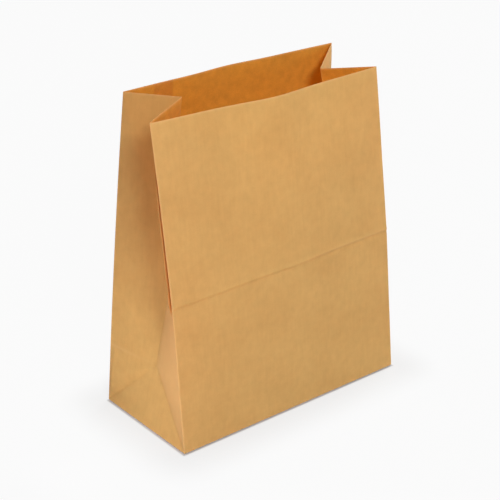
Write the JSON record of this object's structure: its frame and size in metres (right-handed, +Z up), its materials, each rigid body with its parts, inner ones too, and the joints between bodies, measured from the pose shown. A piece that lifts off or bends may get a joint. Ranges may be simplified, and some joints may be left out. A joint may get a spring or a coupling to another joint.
{
  "type": "paper bag",
  "caption": "Open block-bottom paper bag in brown greaseproof kraft, with inward side gussets, a creased front, a flat pasted base and a straight cut mouth.",
  "frame": {"origin": "middle of the base's underside, on the surface that the bag stands on", "axes": "+X along the wide panels, to the right of the front panel; +Y from the front panel to the back panel; +Z up, out of the mouth"},
  "size_m": [0.2488, 0.1044, 0.263],
  "materials": {
    "kraft_paper": "matt brown greaseproof kraft paper, fine fibre mottling, lighter along the folds"
  },
  "bodies": {
    "root": {"paper_bag": "kraft_paper"}
  },
  "joints": []
}
